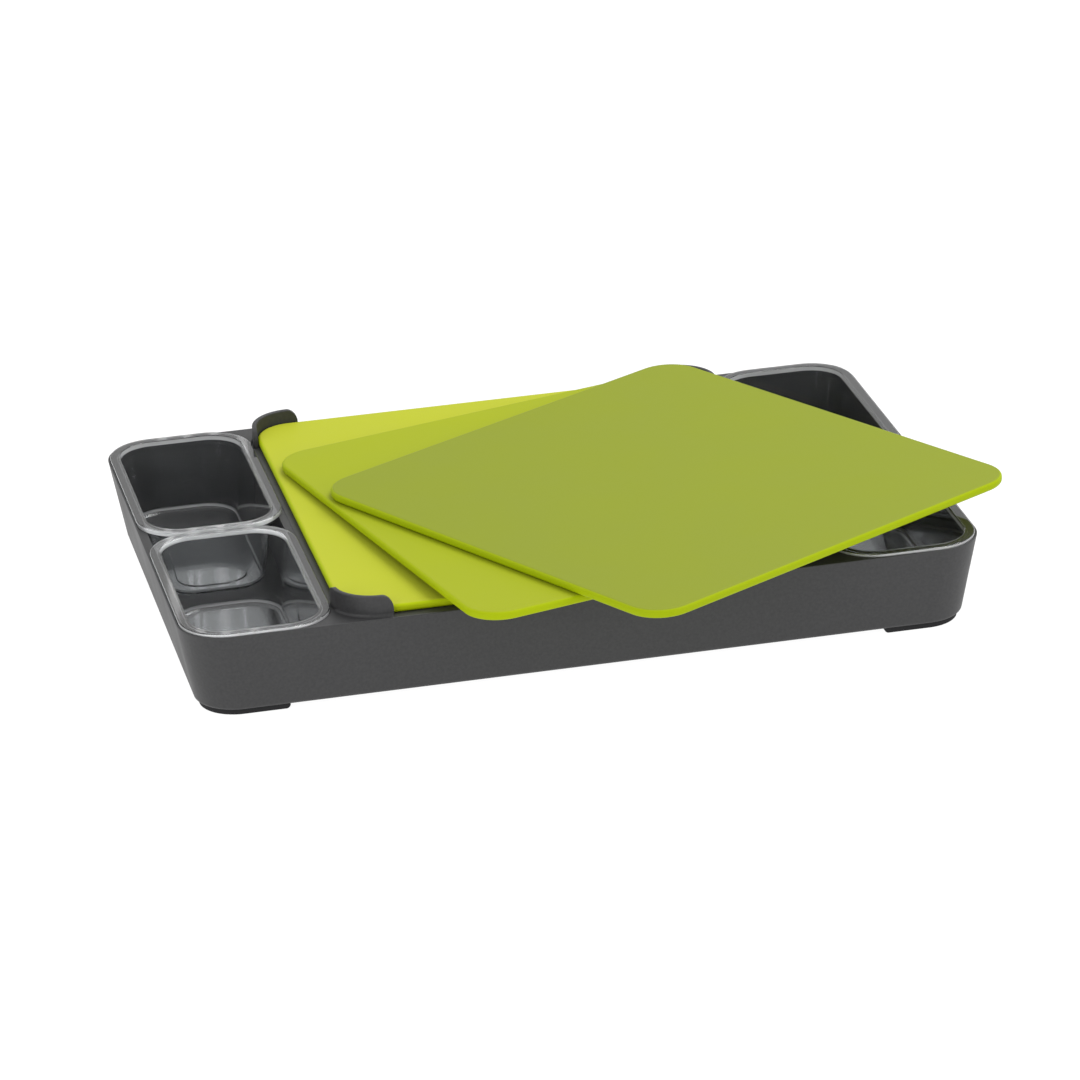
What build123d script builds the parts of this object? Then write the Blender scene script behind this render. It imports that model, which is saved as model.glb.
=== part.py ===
from build123d import *
from math import atan, cos, degrees, radians, sin
import os

os.makedirs("parts", exist_ok=True)

# Cutting board station: a tapered basin holds four lift-out trays, two at each end,
# and a raised platform between them carries a stack of three thin boards.
# Millimetres. +X runs along the basin, -Y is its front, +Z is up.
# The origin is the centre of the basin's flat underside.

# ---- basin ----
base_length = 450.0          # over the rim
base_depth = 301.5           # over the rim
base_height = 47.0           # underside to rim
base_draw_in = 8.1           # how far each wall leans in from rim to underside
wall = 2.4
floor_thickness = 2.6
base_corner_draw_in = 3.6    # how much tighter its corners are at the underside
bottom_round = 2.5
rim_bead = 1.0               # raised edge that shows round the trays
rim_round = 0.5
flange_seat_drop = 1.1       # tray seat below the rim
seat_thickness = 3.9

# ---- trays ----
tray_corner_share = 0.312    # corner radius, of the tray's width
tray_proud = 1.4             # tray top above the basin rim
tray_gap = 0.8               # between the two trays of one bay
flange_width = 5.8           # outer edge to the inside of the tray
tray_wall = 1.6
tray_floor = 1.8
tray_floor_gap = 1.4         # tray underside above the basin floor
tray_draw_in = 6.0           # how far each tray wall leans in
tray_low_corner_share = 0.251  # the same at the tray's underside
tray_inner_round = 2.5
tray_rim_round = 0.8
tray_outer_round = 4.0
island_inset = 9.0           # raised panel of the tray floor, from the floor's edge
island_height = 0.6

# ---- platform ----
deck_thickness = 2.6
deck_corner_radius = 26.0
deck_margin = 0.4            # deck's edge beyond the guards' outer faces, along X
deck_drop = 0.8              # deck top below the basin's rim
skirt_thickness = 2.6
rib_thickness = 2.0
rib_drop = 4.0
ribs_each_way = 3
shelf_reach = 4.1            # tray shelf, out from the deck's edge
shelf_thickness = 2.9

# ---- corner guards ----
guard_height = 12.3          # above the deck
guard_thickness = 2.7
guard_arm = 30.5             # along X, from the guard's outer face
guard_return = 2.0           # along Y, past the end of the corner arc
guard_end_round = 7.5
guard_top_round = 0.8

# ---- boards ----
board_width = 272.8
board_depth = 286.0
board_thickness = 5.0
board_corner_radius = 21.0
board_edge_round = 2.0
middle_turn = 13.0           # degrees anticlockwise seen from above
middle_x = 28.6
middle_y = -29.1
upper_turn = 28.7
upper_x = 65.6
upper_y = -51.0
fan_rise_turn = -42.0        # the way the fanned boards rise: to the right and to the front

# ---- rubber feet ----
foot_height = 3.5
foot_recess = 1.0
foot_inset = 2.5             # from the edge of the underside
foot_width = 10.0
foot_reach = 47.0            # along each wall from the corner
foot_edge_round = 0.6
foot_end_round = 2.5

# ---- clearances ----
seat_gap = 0.3               # tray and deck edges to the bead round them
body_gap = 0.5               # tray body to the seat round it
guard_gap = 0.5              # board edge to guard
board_lift_gap = 0.3         # a fanned board above what it rests on

# ---- worked out from the sizes above ----
rim_z = base_height
deck_z = rim_z - deck_drop
seat_z = rim_z - flange_seat_drop
seat_under_z = seat_z - seat_thickness
floor_z = floor_thickness
bottom_length = base_length - 2 * base_draw_in
bottom_depth = base_depth - 2 * base_draw_in

guard_inner_x = board_width / 2 + guard_gap
guard_inner_y = board_depth / 2 + guard_gap
guard_outer_x = guard_inner_x + guard_thickness
guard_outer_y = guard_inner_y + guard_thickness
guard_top_z = deck_z + guard_height

deck_half_x = guard_outer_x + deck_margin
deck_half_y = base_depth / 2 - rim_bead - seat_gap
deck_under_z = deck_z - deck_thickness

tray_outer_x = base_length / 2 - rim_bead - seat_gap
tray_outer_y = base_depth / 2 - rim_bead - seat_gap
tray_width = tray_outer_x - deck_half_x - body_gap
tray_depth = tray_outer_y - tray_gap / 2
tray_x = tray_outer_x - tray_width / 2
tray_y = tray_gap / 2 + tray_depth / 2
tray_top_z = rim_z + tray_proud
tray_under_z = floor_z + tray_floor_gap
tray_corner_radius = tray_corner_share * tray_width
tray_low_radius = tray_low_corner_share * tray_width
seat_overlap = shelf_reach
tray_body_inset = seat_overlap + body_gap

deck_open_y = deck_half_y - seat_overlap                # inside the ledge under the deck's edge
skirt_half_y = deck_open_y - deck_corner_radius - body_gap   # beside the deck's straight edge
rib_half_y = deck_open_y - body_gap

rim_corner_radius = tray_corner_radius + rim_bead + seat_gap
bottom_corner_radius = rim_corner_radius - base_corner_draw_in


def plan(length, depth, radius, z, x=0.0, y=0.0):
    """A rounded rectangle at height z."""
    return Pos(x, y, z) * RectangleRounded(length, depth, radius)


def plate(length, depth, radius, z0, z1, x=0.0, y=0.0):
    """A straight-walled slab with rounded corners, from z0 up to z1."""
    return extrude(plan(length, depth, radius, z0, x, y), z1 - z0)


def outer_plan(z, inset=0.0):
    """The basin's outline at height z, drawn in by inset."""
    share = z / base_height
    length = bottom_length + 2 * base_draw_in * share
    depth = bottom_depth + 2 * base_draw_in * share
    radius = bottom_corner_radius + (rim_corner_radius - bottom_corner_radius) * share
    return plan(length - 2 * inset, depth - 2 * inset, radius - inset, z)


def tapered(length, depth, radius, z0, z1, spread, low_radius):
    """A slab whose walls lean out by spread from z0 to z1. The sizes given are those at z1."""
    low = plan(length - 2 * spread, depth - 2 * spread, low_radius, z0)
    high = plan(length, depth, radius, z1)
    return loft([low, high], ruled=True)


def box(x0, x1, y0, y1, z0, z1):
    """A block between two corners."""
    block = Box(x1 - x0, y1 - y0, z1 - z0, align=Align.MIN)
    return Pos(x0, y0, z0) * block


def edges_at(solid, z):
    """All edges that lie flat at height z."""
    return [e for e in solid.edges() if abs(e.bounding_box().max.Z - z) < 1e-4
            and abs(e.bounding_box().min.Z - z) < 1e-4]


def four_corners(piece):
    """The piece, its mirror images across X and across Y, and the piece turned half round."""
    across_x = mirror(piece, about=Plane.YZ)
    across_y = mirror(piece, about=Plane.XZ)
    return [piece, across_x, across_y, Rot(0, 0, 180) * piece]


def foot_plan():
    """The strip under the front-left corner, seen from above."""
    outer_length = bottom_length - 2 * foot_inset
    outer_depth = bottom_depth - 2 * foot_inset
    radius = bottom_corner_radius - foot_inset
    ring = RectangleRounded(outer_length, outer_depth, radius)
    ring -= RectangleRounded(outer_length - 2 * foot_width, outer_depth - 2 * foot_width,
                             radius - foot_width)
    corner = Pos(-outer_length / 2, -outer_depth / 2) * Rectangle(2 * foot_reach, 2 * foot_reach)
    return ring & corner


def make_feet():
    """Four rubber corner strips, each set into a recess of the underside."""
    foot = extrude(Pos(0, 0, -foot_height) * foot_plan(), foot_height + foot_recess)
    ends = [e for e in edges_at(foot, -foot_height) if abs(e.length - foot_width) < 0.1]
    foot = fillet(ends, foot_end_round)
    foot = fillet(edges_at(foot, -foot_height), foot_edge_round)
    return four_corners(foot)


def make_basin():
    """Tapered outer moulding: floor, leaning walls, and a top frame that seats deck and trays."""
    body = loft([outer_plan(0), outer_plan(rim_z)], ruled=True)
    body = fillet(edges_at(body, 0), bottom_round)
    body = fillet(edges_at(body, rim_z), rim_round)

    body -= loft([outer_plan(floor_z, wall), outer_plan(seat_under_z, wall)], ruled=True)

    # The opening that the deck drops into, and the smaller one through the ledge under it.
    deck_x = deck_half_x + seat_gap
    body -= plate(2 * deck_x, 2 * (deck_half_y + seat_gap), deck_corner_radius + seat_gap,
                  deck_under_z, rim_z + 1)
    body -= plate(2 * deck_x, 2 * deck_open_y, deck_corner_radius, seat_under_z - 1, rim_z)
    for side in (-1, 1):
        body = cut_bay(body, side)

    for foot in four_corners(extrude(foot_plan(), foot_recess)):
        body -= foot
    return body


def cut_bay(body, side):
    """The basin with one bay's recess for the tray flanges, and the opening for their bodies."""
    x0 = deck_half_x
    x1 = tray_outer_x + seat_gap
    y1 = tray_outer_y + seat_gap
    body -= plate(x1 - x0, 2 * y1, tray_corner_radius + seat_gap, seat_z, rim_z + 1,
                  side * (x0 + x1) / 2)

    radius = tray_corner_radius - seat_overlap
    x0 = deck_half_x + seat_gap + shelf_reach
    x1 = tray_outer_x - seat_overlap
    y1 = tray_outer_y - seat_overlap
    body -= plate(x1 - x0, 2 * y1, radius, seat_under_z - 1, seat_z + 1, side * (x0 + x1) / 2)

    # The platform's shelf fills this gap in the ledge, beside the deck's straight edge.
    half = skirt_half_y + body_gap
    gap_x = sorted((side * (deck_half_x - 1), side * (x0 + radius)))
    return body - box(gap_x[0], gap_x[1], -half, half, seat_under_z - 1, seat_z + 1)


def make_guard():
    """One curved guard at the platform's back-right corner, with a long arm along X."""
    outer_radius = board_corner_radius + guard_gap + guard_thickness
    ring = plate(2 * guard_outer_x, 2 * guard_outer_y, outer_radius, deck_z, guard_top_z)
    ring -= plate(2 * guard_inner_x, 2 * guard_inner_y, outer_radius - guard_thickness,
                  deck_z, guard_top_z)
    ring = fillet(edges_at(ring, guard_top_z), guard_top_round)

    # Both ends stop short of the next corner, with their upper edge rounded off.
    arm_x = guard_outer_x - guard_arm
    arm_y = guard_outer_y - outer_radius - guard_return
    r = guard_end_round
    side_shape = Plane.XZ * end_shape(arm_x, guard_outer_x + 1, r)
    ring &= Pos(0, guard_outer_y + 1, 0) * extrude(side_shape, 2 * outer_radius)
    front_shape = Plane.YZ * end_shape(arm_y, guard_outer_y + 1, r)
    ring &= Pos(arm_x - 1, 0, 0) * extrude(front_shape, guard_arm + 2)
    return ring


def end_shape(start, stop, radius):
    """The guard's height seen from one side: square, but for the rounded upper corner at start."""
    path = FilletPolyline(
        (start, deck_z - 1), (start, guard_top_z), (stop, guard_top_z), radius=radius)
    path += Polyline((stop, guard_top_z), (stop, deck_z - 1), (start, deck_z - 1))
    return make_face(path)


def make_platform():
    """The bridge between the two bays: deck, skirts, ribs, tray shelves and guards."""
    body = plate(2 * deck_half_x, 2 * deck_half_y, deck_corner_radius, deck_under_z, deck_z)
    body = fillet(edges_at(body, deck_z), rim_round)

    skirt = box(deck_half_x - skirt_thickness, deck_half_x, -skirt_half_y, skirt_half_y,
                floor_z, deck_under_z)
    shelf = box(deck_half_x - 1, deck_half_x + shelf_reach, -skirt_half_y, skirt_half_y,
                seat_z - shelf_thickness, seat_z)
    for piece in (skirt, shelf):
        body += [piece, mirror(piece, about=Plane.YZ)]

    # Ribs under the deck, evenly spaced between the skirts and between front and back.
    inner = deck_half_x - skirt_thickness / 2
    low = deck_under_z - rib_drop
    for i in range(ribs_each_way):
        share = (i + 1) / (ribs_each_way + 1) * 2 - 1
        x = share * inner
        y = share * skirt_half_y
        t = rib_thickness / 2
        body += box(x - t, x + t, -rib_half_y, rib_half_y, low, deck_under_z)
        body += box(-inner, inner, y - t, y + t, low, deck_under_z)

    for guard in four_corners(make_guard()):
        body += guard
    return body


def make_tray():
    """One clear lift-out tray, centred on its own plan."""
    width = tray_width
    depth = tray_depth
    radius = tray_corner_radius
    flange = plate(width, depth, radius, seat_z, tray_top_z)
    inset = tray_body_inset
    height = seat_z - tray_under_z
    lean = tray_draw_in / height
    body = tapered(width - 2 * inset, depth - 2 * inset, radius - inset,
                   tray_under_z, seat_z, tray_draw_in, tray_low_radius)
    body = fillet(edges_at(body, tray_under_z), tray_outer_round)
    body += flange

    inner_floor = tray_under_z + tray_floor
    spread = lean * (tray_top_z - inner_floor)
    inset = flange_width
    floor_radius = tray_low_radius - tray_wall
    hollow = tapered(width - 2 * inset, depth - 2 * inset, radius - inset,
                     inner_floor, tray_top_z, spread, floor_radius)
    hollow = fillet(edges_at(hollow, inner_floor), tray_inner_round)
    body -= hollow

    inset = flange_width + spread + island_inset
    island_radius = floor_radius - island_inset / 2
    body += tapered(width - 2 * inset, depth - 2 * inset, island_radius,
                    inner_floor, inner_floor + island_height, -island_height, island_radius)
    return fillet(edges_at(body, tray_top_z), tray_rim_round)


def make_board():
    """One thin board, centred on its own plan, with its underside at z = 0."""
    board = plate(board_width, board_depth, board_corner_radius, 0, board_thickness)
    return fillet(edges_at(board, 0) + edges_at(board, board_thickness), board_edge_round)


def fan_reach():
    """How far down the slope the middle board reaches from its centre, to its lowest corner."""
    turn = radians(180 + fan_rise_turn - middle_turn)
    half_x = board_width / 2 - board_corner_radius
    half_y = board_depth / 2 - board_corner_radius
    return half_x * abs(cos(turn)) + half_y * abs(sin(turn)) + board_corner_radius


def fan_distance(x, y):
    """How far up the slope a point lies from the middle board's centre."""
    rise = radians(fan_rise_turn)
    return (x - middle_x) * cos(rise) + (y - middle_y) * sin(rise)


def fan_slope():
    """The fanned boards touch the lower board with the middle one's lowest corner and ride on
    the front-right guard. Its top is met first where the rounded end of one of its arms ends."""
    outer_radius = board_corner_radius + guard_gap + guard_thickness
    long_arm_x = guard_outer_x - guard_arm + guard_end_round
    short_arm_y = guard_outer_y - outer_radius - guard_return + guard_end_round
    first = min(fan_distance(long_arm_x, -guard_inner_y),
                fan_distance(guard_inner_x, -short_arm_y))
    return (guard_height - board_thickness) / (first + fan_reach())


def fanned(board, x, y, turn, lift):
    """A board turned about Z and laid on the sloping plane, lift above it."""
    slope = fan_slope()
    height = deck_z + board_thickness + board_lift_gap
    height += slope * (fan_distance(x, y) + fan_reach())
    tilt = Rot(0, 0, fan_rise_turn) * Rot(0, -degrees(atan(slope)), 0) * Rot(0, 0, -fan_rise_turn)
    return Pos(x, y, height) * tilt * Pos(0, 0, lift) * Rot(0, 0, turn) * board


basin = make_basin()
platform = make_platform()
feet = make_feet()
tray = make_tray()
board = make_board()

nodes = {
    "basin": basin,
    "board_platform": platform,
    "board_lower": Pos(0, 0, deck_z) * board,
    "board_middle": fanned(board, middle_x, middle_y, middle_turn, 0),
    "board_upper": fanned(board, upper_x, upper_y, upper_turn, board_thickness + board_lift_gap),
    "tray_left_front": Pos(-tray_x, -tray_y, 0) * tray,
    "tray_left_rear": Pos(-tray_x, tray_y, 0) * tray,
    "tray_right_front": Pos(tray_x, -tray_y, 0) * tray,
    "tray_right_rear": Pos(tray_x, tray_y, 0) * tray,
    "foot_front_left": feet[0],
    "foot_front_right": feet[1],
    "foot_rear_left": feet[2],
    "foot_rear_right": feet[3],
}

for name, solid in nodes.items():
    export_step(solid, f"parts/{name}.step")
    size = solid.bounding_box().size
    print(f"{name}: {size.X:.1f} x {size.Y:.1f} x {size.Z:.1f} mm, {solid.volume / 1000:.1f} cm3")
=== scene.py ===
# %% [markdown]
# # A cutting board station with lift-out trays
#
# The real object is a long, shallow basin of dark moulded plastic. Four clear trays
# drop into its two ends, and a raised platform between them carries three thin boards
# that are fanned out like cards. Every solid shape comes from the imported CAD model,
# so this script adds what the CAD leaves out: the finishes, the soft roots of the
# moulded guards, the light and the camera.
#
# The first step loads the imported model. Its objects sit at the origin with their
# place in their vertices, in metres, and they are never moved or edited here.

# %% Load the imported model
from math import cos, radians, sin

import bpy
import numpy as np
from mathutils import Matrix, Vector


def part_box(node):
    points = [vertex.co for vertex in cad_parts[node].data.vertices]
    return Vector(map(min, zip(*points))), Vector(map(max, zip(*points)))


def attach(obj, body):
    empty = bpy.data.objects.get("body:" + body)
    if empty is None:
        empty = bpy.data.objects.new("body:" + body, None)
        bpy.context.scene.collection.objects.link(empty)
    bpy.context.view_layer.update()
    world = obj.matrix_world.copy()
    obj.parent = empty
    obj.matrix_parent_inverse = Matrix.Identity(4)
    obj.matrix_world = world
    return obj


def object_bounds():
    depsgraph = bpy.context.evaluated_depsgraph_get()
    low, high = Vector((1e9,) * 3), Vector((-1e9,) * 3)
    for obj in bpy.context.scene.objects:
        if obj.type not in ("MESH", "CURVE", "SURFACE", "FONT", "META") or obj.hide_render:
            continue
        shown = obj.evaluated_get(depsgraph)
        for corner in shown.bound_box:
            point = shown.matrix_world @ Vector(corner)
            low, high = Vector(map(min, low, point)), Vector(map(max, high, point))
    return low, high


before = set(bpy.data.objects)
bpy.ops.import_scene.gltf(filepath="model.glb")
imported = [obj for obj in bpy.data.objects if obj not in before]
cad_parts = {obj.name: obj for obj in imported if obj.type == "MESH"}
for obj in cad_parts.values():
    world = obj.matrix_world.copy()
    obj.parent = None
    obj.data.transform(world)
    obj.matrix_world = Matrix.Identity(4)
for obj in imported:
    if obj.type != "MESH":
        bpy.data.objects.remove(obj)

cad_box = [list(corner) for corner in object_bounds()]
print("CAD box from", cad_box[0], "to", cad_box[1])

# %% [markdown]
# ## The camera
#
# The photograph was taken with a long lens from a little left of the front and about
# 22 degrees above. A camera can be aimed with constraints, but a constraint hides the
# numbers. Here three directions are worked out from yaw, pitch and roll: the line of
# sight, the picture's right and the picture's up. They are the columns of the
# camera's matrix. The lens follows from the focal length in pixels, because a sensor
# 36 mm wide spans the picture's 1080 pixels.

# %% Place the camera
YAW = radians(11.86)         # turned this far clockwise from looking along +Y
PITCH = radians(22.62)       # looking down
ROLL = radians(-2.28)        # the picture leans a little
FOCAL_PIXELS = 5322
PICTURE_PIXELS = 1080
SENSOR_MM = 36.0
AIM = Vector((0.0048, 0.0056, 0.0154))
DISTANCE = 3.046
SEES_UP_TO = 100             # metres

sight = Vector((sin(YAW) * cos(PITCH), cos(YAW) * cos(PITCH), -sin(PITCH)))
level = Vector((cos(YAW), -sin(YAW), 0))
upright = level.cross(sight)
picture_right = cos(ROLL) * level + sin(ROLL) * upright
picture_up = cos(ROLL) * upright - sin(ROLL) * level

camera_data = bpy.data.cameras.new("studio_camera")
camera_data.sensor_width = SENSOR_MM
camera_data.lens = FOCAL_PIXELS / PICTURE_PIXELS * SENSOR_MM
camera_data.clip_end = SEES_UP_TO
camera = bpy.data.objects.new("studio_camera", camera_data)
bpy.context.scene.collection.objects.link(camera)
camera_turn = Matrix((picture_right, picture_up, -sight)).transposed().to_4x4()
camera.matrix_world = Matrix.Translation(AIM - DISTANCE * sight) @ camera_turn
bpy.context.scene.camera = camera
print("lens", round(camera_data.lens, 1), "mm")

# %% [markdown]
# ## Shader nodes
#
# A material is a small graph of nodes, and most of its code is the same few steps:
# make a node, set its sockets, join it to others. The first helper does all three. A
# socket given a number or a colour keeps it, and a socket given another node's output
# is linked to it.

# %% Helpers that make nodes
def add_node(tree, kind, sockets=None, **settings):
    """Makes a node, applies its settings, then sets or links each named socket."""
    made = tree.nodes.new(kind)
    for name, value in settings.items():
        setattr(made, name, value)
    for name, value in (sockets or {}).items():
        if isinstance(value, bpy.types.NodeSocket):
            tree.links.new(value, made.inputs[name])
        else:
            made.inputs[name].default_value = value
    return made


def new_material(name):
    """An empty material, with its tree, its shader and the object's own coordinates."""
    material = bpy.data.materials.new(name)
    material.use_nodes = True
    tree = material.node_tree
    tree.nodes.clear()
    shader = add_node(tree, "ShaderNodeBsdfPrincipled")
    add_node(tree, "ShaderNodeOutputMaterial", {"Surface": shader.outputs["BSDF"]})
    place = add_node(tree, "ShaderNodeTexCoord")
    return material, tree, shader, place


def work_out(tree, operation, *values):
    """One step of arithmetic on numbers and node outputs."""
    made = add_node(tree, "ShaderNodeMath", dict(enumerate(values)), operation=operation)
    return made.outputs[0]


def along_z(tree, vector):
    """The Z part of a place or of a normal."""
    return add_node(tree, "ShaderNodeSeparateXYZ", {"Vector": vector}).outputs["Z"]


print("helpers for nodes are ready")

# %% [markdown]
# ## Unevenness
#
# No moulded surface is one flat colour. A noise gives soft blobs of a chosen size, and
# the same noise can tint the colour, change the gloss or dent the surface. Its raw
# value rarely leaves 0.3 to 0.7, so it is stretched before use. Dents are given as a
# real depth in metres, so they keep their scale whatever the object's size.

# %% Helpers for noise, tint and grain
def cloud(tree, place, per_metre, detail=3.0):
    """A noise in metres: per_metre blobs to the metre. Its value runs around 0.5."""
    noise = add_node(tree, "ShaderNodeTexNoise",
                     {"Vector": place.outputs["Object"], "Scale": per_metre, "Detail": detail})
    return noise.outputs["Fac"]


def spread(tree, value, low, high):
    """Stretches the middle of a noise, 0.3 to 0.7, over low to high."""
    ranged = add_node(tree, "ShaderNodeMapRange",
                      {"Value": value, "From Min": 0.3, "From Max": 0.7,
                       "To Min": low, "To Max": high})
    return ranged.outputs["Result"]


def smooth_step(tree, value, begins, ends, low=0.0, high=1.0):
    """Goes from low to high while value goes from begins to ends, easing in and out."""
    ranged = add_node(tree, "ShaderNodeMapRange",
                      {"Value": value, "From Min": begins, "From Max": ends,
                       "To Min": low, "To Max": high}, interpolation_type="SMOOTHSTEP")
    return ranged.outputs["Result"]


def between(tree, share, first, second):
    """A colour that goes from first to second as share goes from 0 to 1."""
    mix = add_node(tree, "ShaderNodeMix", data_type="RGBA")
    tree.links.new(share, mix.inputs["Factor"])
    for socket, colour in (("A", first), ("B", second)):
        target = [s for s in mix.inputs if s.name == socket and s.type == "RGBA"][0]
        if isinstance(colour, bpy.types.NodeSocket):
            tree.links.new(colour, target)
        else:
            target.default_value = (*colour, 1)
    return [s for s in mix.outputs if s.type == "RGBA"][0]


def grain(tree, shader, height, depth, strength):
    """Turns a height between 0 and 1 into dents of that depth, in metres."""
    bump = add_node(tree, "ShaderNodeBump",
                    {"Height": height, "Distance": depth, "Strength": strength})
    tree.links.new(bump.outputs["Normal"], shader.inputs["Normal"])


print("helpers for noise are ready")

# %% [markdown]
# ## Charcoal plastic and rubber
#
# The basin and the platform are injection moulded, and their steel mould was
# etched, so the surface has a fine even grain that scatters light. Paint or an image
# would look printed on. A fine noise as bump gives the grain. Small specks and broad,
# faint clouds in the colour keep the long walls from looking like flat card. The
# rubber feet are the same kind of surface, darker and duller.

# %% Charcoal and rubber finishes
CLOUDS_PER_METRE = 28
SPECKS_PER_METRE = 620
ROUGHNESS_SWING = 0.05
ETCH_STRENGTH = 0.5


def moulded(name, dark, light, roughness, specular, grain_per_metre, grain_depth):
    """Etched plastic. Its tone is the mean of broad clouds and small specks, the clouds
    also make it rougher or smoother, and a finer noise dents it."""
    material, tree, shader, place = new_material(name)
    broad = cloud(tree, place, CLOUDS_PER_METRE, detail=4)
    specks = spread(tree, cloud(tree, place, SPECKS_PER_METRE, detail=3), 0.0, 1.0)
    tone = work_out(tree, "MULTIPLY", work_out(tree, "ADD", broad, specks), 0.5)
    tree.links.new(between(tree, tone, dark, light), shader.inputs["Base Color"])
    uneven = spread(tree, broad, roughness - ROUGHNESS_SWING, roughness + ROUGHNESS_SWING)
    tree.links.new(uneven, shader.inputs["Roughness"])
    grain(tree, shader, cloud(tree, place, grain_per_metre, detail=2), grain_depth, ETCH_STRENGTH)
    shader.inputs["Specular IOR Level"].default_value = specular
    return material


charcoal = moulded("etched_charcoal", (0.026, 0.026, 0.027), (0.044, 0.044, 0.045),
                   roughness=0.5, specular=0.4, grain_per_metre=1500, grain_depth=0.00006)
rubber = moulded("black_rubber", (0.009, 0.009, 0.010), (0.014, 0.014, 0.015),
                 roughness=0.75, specular=0.3, grain_per_metre=2600, grain_depth=0.00004)
print("charcoal has", len(charcoal.node_tree.nodes), "nodes")

# %% [markdown]
# ## The boards
#
# Each board is a flexible sheet of matte plastic in its own green. Its flat faces are
# etched so that food does not slide, and look a little greyed. Its rounded edge is
# smooth, and light that enters the sheet leaves it there; that glow is painted into the
# edge's colour, a painted glow of the purest and brightest green. The normal in the
# object's own coordinates tells face from edge: its Z is 1 on the flat and falls to 0
# round the edge.

# %% Board finishes
EDGE_UNTIL = 0.75            # the normal's Z up to which a surface has the edge's green
FACE_FROM = 0.99             # and from which it has the face's
TONE_SWING = 0.035           # how far the face's tone goes up and down


def board_plastic(name, face, painted_edge_glow):
    """Matte face and an edge with a painted glow, brighter, blended by how far the surface turns
    from level.
    """
    material, tree, shader, place = new_material(name)
    upward = work_out(tree, "ABSOLUTE", along_z(tree, place.outputs["Normal"]))
    flatness = smooth_step(tree, upward, EDGE_UNTIL, FACE_FROM)
    broad = cloud(tree, place, 16, detail=5)
    darker = [c * (1 - TONE_SWING) for c in face]
    lighter = [c * (1 + TONE_SWING) for c in face]
    colour = between(tree, flatness, painted_edge_glow, between(tree, broad, darker, lighter))
    tree.links.new(colour, shader.inputs["Base Color"])
    tree.links.new(spread(tree, broad, 0.5, 0.6), shader.inputs["Roughness"])
    grain(tree, shader, cloud(tree, place, 1100, detail=2), 0.00005, 0.35)
    shader.inputs["Specular IOR Level"].default_value = 0.08
    return material


# The second colour of each board is the painted glow of its edge.
lime = board_plastic("lime_board", (0.441, 0.477, 0.028), (0.430, 0.530, 0.003))
green = board_plastic("green_board", (0.332, 0.385, 0.013), (0.360, 0.450, 0.002))
olive = board_plastic("olive_board", (0.244, 0.290, 0.023), (0.330, 0.420, 0.002))
print("boards:", lime.name, green.name, olive.name)

# %% [markdown]
# ## Clear trays
# The trays are hard, glossy and colourless, and their CAD walls are real walls 1.6 mm
# thick. Full glass would need real lamps and a real room to bend, and turns patchy in
# an even white tent. So the light is bent only a little, a gloss coat carries the
# reflections, and a small share of the plastic is made pale, not clear, as a painted
# highlight. That share is what draws the trays: the lips of the flange and the fold
# round the floor show as thin painted bright lines, where a real tray gathers light.
# It depends on height alone, and on the lips also on how far the surface turns from
# level.

# %% How clear the trays are, and where their highlights are painted
TRAY_TOP_Z = 0.0485          # just above the trays' rims
FLANGE_Z = 0.0459            # underside of the flanges
FOLD_LOW_Z = 0.0067          # the fold round the floor, where it leaves the floor
FOLD_HIGH_Z = 0.0079         # and where it meets the walls
# Clearness by height: the low value at the fold and the flange's lower value are painted
# highlights.
CLEAR_AND_PAINTED_LINES_BY_HEIGHT = ((0.0, 0.985), (FOLD_LOW_Z, 0.65), (FOLD_HIGH_Z, 0.985), (FLANGE_Z, 0.965))
LIP_PAINTED_HIGHLIGHT = 0.42          # painted highlight: the clearness that the steepest part of a lip loses
LIP_FROM = 0.35              # the normal's Z up to which a lip carries the most painted highlight
FLAT_FROM = 0.85             # and from which it counts as flat


def steps_by_height(tree, height, top, steps):
    """A value that changes in steps. Each step is the height where it begins, and its
    value, which holds until the next one begins."""
    share = add_node(tree, "ShaderNodeMapRange", {"Value": height, "From Max": top})
    ramp = add_node(tree, "ShaderNodeValToRGB", {"Fac": share.outputs["Result"]})
    ramp.color_ramp.interpolation = "CONSTANT"
    stops = ramp.color_ramp.elements
    stops.remove(stops[1])
    for begins, value in steps:
        stop = stops[0] if begins == 0 else stops.new(begins / top)
        stop.color = (value, value, value, 1)
    return ramp.outputs["Color"]


def clearness(tree, place):
    """The steps by height, less the lips' painted highlight above the flange's underside."""
    height = along_z(tree, place.outputs["Object"])
    upward = work_out(tree, "ABSOLUTE", along_z(tree, place.outputs["Normal"]))
    lip_highlight = smooth_step(tree, upward, LIP_FROM, FLAT_FROM, low=LIP_PAINTED_HIGHLIGHT, high=0.0)
    on_flange = work_out(tree, "GREATER_THAN", height, FLANGE_Z)
    by_height = steps_by_height(tree, height, TRAY_TOP_Z, CLEAR_AND_PAINTED_LINES_BY_HEIGHT)
    return work_out(tree, "SUBTRACT", by_height, work_out(tree, "MULTIPLY", lip_highlight, on_flange))


print(len(CLEAR_AND_PAINTED_LINES_BY_HEIGHT), "steps of clearness, up to", TRAY_TOP_Z * 1000, "mm")

# %% [markdown]
# The rest of the plastic is a faint haze, a tint between two cool whites, and a very
# slow waviness, which stands for the flow of the plastic in its mould and breaks up
# the reflections.

# %% Clear plastic
WEAK_BEND = 1.25             # refractive index
COAT_SHARE = 0.6
COAT_ROUGHNESS = 0.03

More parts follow.
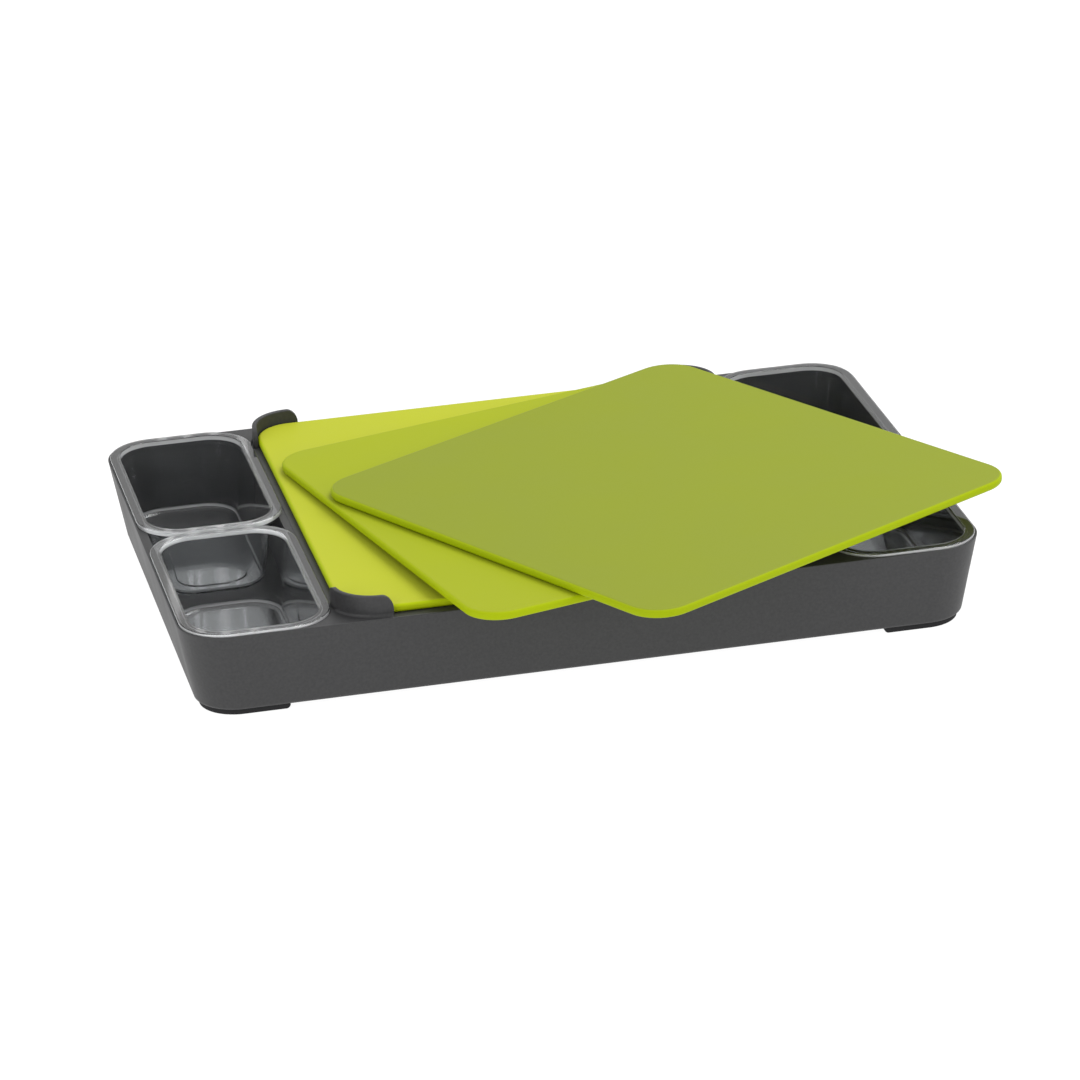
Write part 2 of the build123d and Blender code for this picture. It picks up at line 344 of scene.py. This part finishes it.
clear, clear_tree, clear_shader, clear_place = new_material("clear_plastic")
clear_shader.inputs["IOR"].default_value = WEAK_BEND
clear_shader.inputs["Coat Weight"].default_value = COAT_SHARE
clear_shader.inputs["Coat Roughness"].default_value = COAT_ROUGHNESS
clear_tree.links.new(clearness(clear_tree, clear_place), clear_shader.inputs["Transmission Weight"])
haze = cloud(clear_tree, clear_place, 20, detail=4)
clear_tree.links.new(spread(clear_tree, haze, 0.015, 0.05), clear_shader.inputs["Roughness"])
clear_tree.links.new(between(clear_tree, haze, (0.90, 0.92, 0.93), (0.95, 0.96, 0.97)),
                     clear_shader.inputs["Base Color"])
grain(clear_tree, clear_shader, cloud(clear_tree, clear_place, 35, detail=1), 0.0002, 0.25)
print("clear plastic has", len(clear_tree.nodes), "nodes")

# %% [markdown]
# ## Handing the finishes to the CAD nodes
#
# A node could be hidden and built again here, but these already have the right shape.
# Each one keeps its mesh and only gets a better material in its slot.

# %% Dress the CAD nodes
FINISHES = {
    "basin": charcoal, "board_platform": charcoal,
    "board_lower": lime, "board_middle": green, "board_upper": olive,
    "tray_left_front": clear, "tray_left_rear": clear,
    "tray_right_front": clear, "tray_right_rear": clear,
    "foot_front_left": rubber, "foot_front_right": rubber,
    "foot_rear_left": rubber, "foot_rear_right": rubber,
}
for node, material in FINISHES.items():
    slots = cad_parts[node].data.materials
    slots.clear()
    slots.append(material)
print(len(FINISHES), "nodes dressed, of", len(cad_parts))

# %% [markdown]
# ## Roots of the guards
#
# Each guard grows out of the platform with a small hollow curve at its foot, which
# catches a thin curved line of light. A boolean would disturb the CAD mesh, so the
# root is a strip of its own, laid along the guard's outer face. The line that it
# follows comes first: the guard's arm, then its corner. Where the guard's face comes
# flush with the platform's side there is no room for a root, so the free width is
# worked out at each point and the strip narrows to nothing.

# %% The line at the foot of a guard
GUARD_ARM = 0.0305
CORNER_RADIUS = 0.0242       # of the guard's outer face
ROOT_RADIUS = 0.0020
SHELF_PAST_GUARD = 0.0045    # the platform's tray shelf reaches this far past the guards
GUARD_PAST_BOARD = 0.0032    # the guards' outer faces stand this far past the lower board
ARM_START = 0.0004           # the strip begins this far in from the arm's end
ROOM_USED = 0.98             # share of the free width that the strip may take
THINNEST = 0.00002

board_low, board_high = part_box("board_lower")
deck_z = board_low.z
face_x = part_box("board_platform")[1].x - SHELF_PAST_GUARD
face_y = board_high.y + GUARD_PAST_BOARD


def guard_line(along, steps_round):
    """Points and outward normals of the guard's outer face at one corner, with the strip's
    width at each point. The line is a straight arm, then a quarter circle: its centre
    plus the radius times the sine and cosine of the bend. The free width is the distance
    to the platform's side divided by the X part of the normal."""
    arm_x = np.linspace(face_x - GUARD_ARM + ARM_START, face_x - CORNER_RADIUS, along)
    turn = np.linspace(0, np.pi / 2, steps_round)[1:]
    x = np.concatenate([arm_x, face_x - CORNER_RADIUS + CORNER_RADIUS * np.sin(turn)])
    y = np.concatenate([np.full(along, face_y),
                        face_y - CORNER_RADIUS + CORNER_RADIUS * np.cos(turn)])
    bend = np.concatenate([np.zeros(along), turn])
    normal = np.stack([np.sin(bend), np.cos(bend)], axis=1)
    room = (face_x - x) / np.maximum(normal[:, 0], 1e-6)
    width = np.minimum(ROOT_RADIUS, ROOM_USED * room)
    return np.stack([x, y], axis=1), normal, np.maximum(width, THINNEST)


print("guards' outer faces at x", round(face_x * 1000, 1), "and y", round(face_y * 1000, 1), "mm")

# %% [markdown]
# The strip's section is a quarter circle seen from outside, closed by two faces that
# are sunk a little into the guard and the deck so that no gap shows. The whole section
# is scaled by the width at each point of the line, as one array of lines times
# sections. The other three corners are mirror images, and a mirror turns faces inside
# out, so their corners are listed the other way round.

# %% The strip along a guard
SUNK = 0.0003                # how far the strip reaches into the mouldings it joins
ARM_POINTS, CORNER_POINTS, ARC_POINTS = 9, 22, 9
SHARP_FROM = radians(40)


def root_section():
    """The section for a width of 1, as out and up: 1 less the sine and 1 less the cosine
    of a quarter turn, then three corners that are sunk into the mouldings."""
    arc = np.linspace(0, np.pi / 2, ARC_POINTS)
    sunk = -SUNK / ROOT_RADIUS
    out = np.concatenate([1 - np.sin(arc), [sunk, sunk, 1]])
    up = np.concatenate([1 - np.cos(arc), [1, sunk, sunk]])
    return out, up


def guard_root(name, side_x, side_y):
    """The section carried along the guard's line. Each point is the line's point plus its
    normal times width times out, raised by width times up. The two signs say which
    corner it is for."""
    line, normal, width = guard_line(ARM_POINTS, CORNER_POINTS)
    out, up = root_section()
    reach = width[:, None] * out[None, :]
    flat = line[:, None, :] + normal[:, None, :] * reach[:, :, None]
    height = deck_z + width[:, None] * up[None, :]
    points = np.concatenate([flat, height[:, :, None]], axis=2).reshape(-1, 3)
    points *= (side_x, side_y, 1)

    rows, ring = len(line), len(out)
    i, j = np.meshgrid(np.arange(rows - 1), np.arange(ring), indexing="ij")
    here, beside = i * ring + j, i * ring + (j + 1) % ring
    faces = np.stack([here, beside, beside + ring, here + ring], axis=2).reshape(-1, 4)
    caps = [np.arange(ring)[::-1], np.arange(ring) + (rows - 1) * ring]
    if side_x * side_y < 0:
        faces = faces[:, ::-1]
        caps = [cap[::-1] for cap in caps]
    mesh = bpy.data.meshes.new(name)
    mesh.from_pydata(points.tolist(), [], faces.tolist() + [cap.tolist() for cap in caps])
    mesh.shade_smooth()
    mesh.set_sharp_from_angle(angle=SHARP_FROM)
    mesh.materials.append(charcoal)
    piece = bpy.data.objects.new(name, mesh)
    bpy.context.scene.collection.objects.link(piece)
    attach(piece, "station")
    return piece


CORNERS = {"front_left": (-1, -1), "front_right": (1, -1),
           "rear_left": (-1, 1), "rear_right": (1, 1)}
for corner, (side_x, side_y) in CORNERS.items():
    piece = guard_root("guard_root_" + corner, side_x, side_y)
    print(piece.name, len(piece.data.polygons), "faces")

# %% [markdown]
# ## The floor
#
# The object stands alone on plain white. A white sheet under lamps turns grey away
# from them and keeps a shadow, and a brighter lamp would bleach the object too. So
# the sheet glows by itself, like a photographer's light table: its own glow makes it
# white, and it also lights the walls from below. A faint mottle keeps it from being
# one flat colour.

# %% Floor
FLOOR_HALF = 12.0            # metres, far enough that its edge never shows
FLOOR_CELLS = 24
FLOOR_GLOW = 0.97


def floor_sheet(half, z, cells):
    """A level square grid of side 2 * half at height z."""
    line = np.linspace(-half, half, cells + 1)
    x, y = np.meshgrid(line, line, indexing="ij")
    points = np.stack([x, y, np.full_like(x, z)], axis=2).reshape(-1, 3)
    i, j = np.meshgrid(np.arange(cells), np.arange(cells), indexing="ij")
    here = (i * (cells + 1) + j).reshape(-1)
    faces = np.stack([here, here + cells + 1, here + cells + 2, here + 1], axis=1)
    mesh = bpy.data.meshes.new("floor")
    mesh.from_pydata(points.tolist(), [], faces.tolist())
    return mesh


light_table, table_tree, table_shader, table_place = new_material("light_table")
mottle = cloud(table_tree, table_place, 6, detail=3)
table_tree.links.new(between(table_tree, mottle, (0.10, 0.10, 0.10), (0.12, 0.12, 0.12)),
                     table_shader.inputs["Base Color"])
table_shader.inputs["Emission Color"].default_value = (1, 1, 1, 1)
table_shader.inputs["Emission Strength"].default_value = FLOOR_GLOW
table_shader.inputs["Roughness"].default_value = 0.9
table_shader.inputs["Specular IOR Level"].default_value = 0.1

floor_mesh = floor_sheet(FLOOR_HALF, cad_box[0][2], FLOOR_CELLS)
floor_mesh.materials.append(light_table)
floor = bpy.data.objects.new("floor", floor_mesh)
bpy.context.scene.collection.objects.link(floor)
print("floor at", round(cad_box[0][2] * 1000, 2), "mm")

# %% [markdown]
# ## The light
#
# The world is an even white tent, as in product photography, and it fills every
# shadow. On its own it shows no form, so lamps are added: a large soft one above and
# to the right shapes the boards, two small ones in front open up the front wall, and
# four narrow upright slots far behind draw bright streaks on the floors of the clear
# trays. They are slots because a wide strip there would also turn the flanges white.

# %% Light
TENT_BRIGHTNESS = 0.8
# Each lamp: its place, the point it faces, its width and height in metres, its watts.
LAMPS = {
    "overhead_box": ((0.7, 0.4, 1.5), (0, 0, 0), 1.2, 1.0, 17),
    "front_fill_left": ((-0.62, -0.7, 0.32), (-0.2, -0.15, 0.02), 0.35, 0.25, 1.4),
    "front_fill_right": ((0.62, -0.7, 0.32), (0.26, -0.15, 0.02), 0.35, 0.25, 1.1),
}
SLOTS_X = (0.189, 0.218, 0.249, 0.283)
for number, slot_x in enumerate(SLOTS_X):
    LAMPS["rear_slot_" + str(number)] = ((slot_x, 3.0, 1.3), (-0.18, 0, 0), 0.010, 1.5, 0.055)

world = bpy.data.worlds.new("white_tent")
world.use_nodes = True
world.node_tree.nodes["Background"].inputs["Color"].default_value = (1, 1, 1, 1)
world.node_tree.nodes["Background"].inputs["Strength"].default_value = TENT_BRIGHTNESS
bpy.context.scene.world = world


def soft_lamp(name, place, aim, width, height, watts):
    """A rectangular lamp at place whose face points at aim."""
    data = bpy.data.lights.new(name, "AREA")
    data.shape = "RECTANGLE"
    data.size = width
    data.size_y = height
    data.energy = watts
    lamp = bpy.data.objects.new(name, data)
    lamp.location = place
    lamp.rotation_euler = (Vector(aim) - Vector(place)).to_track_quat("-Z", "Y").to_euler()
    bpy.context.scene.collection.objects.link(lamp)


for name, lamp in LAMPS.items():
    soft_lamp(name, *lamp)
bpy.context.scene.view_settings.view_transform = "Standard"
print(len(LAMPS), "lamps")
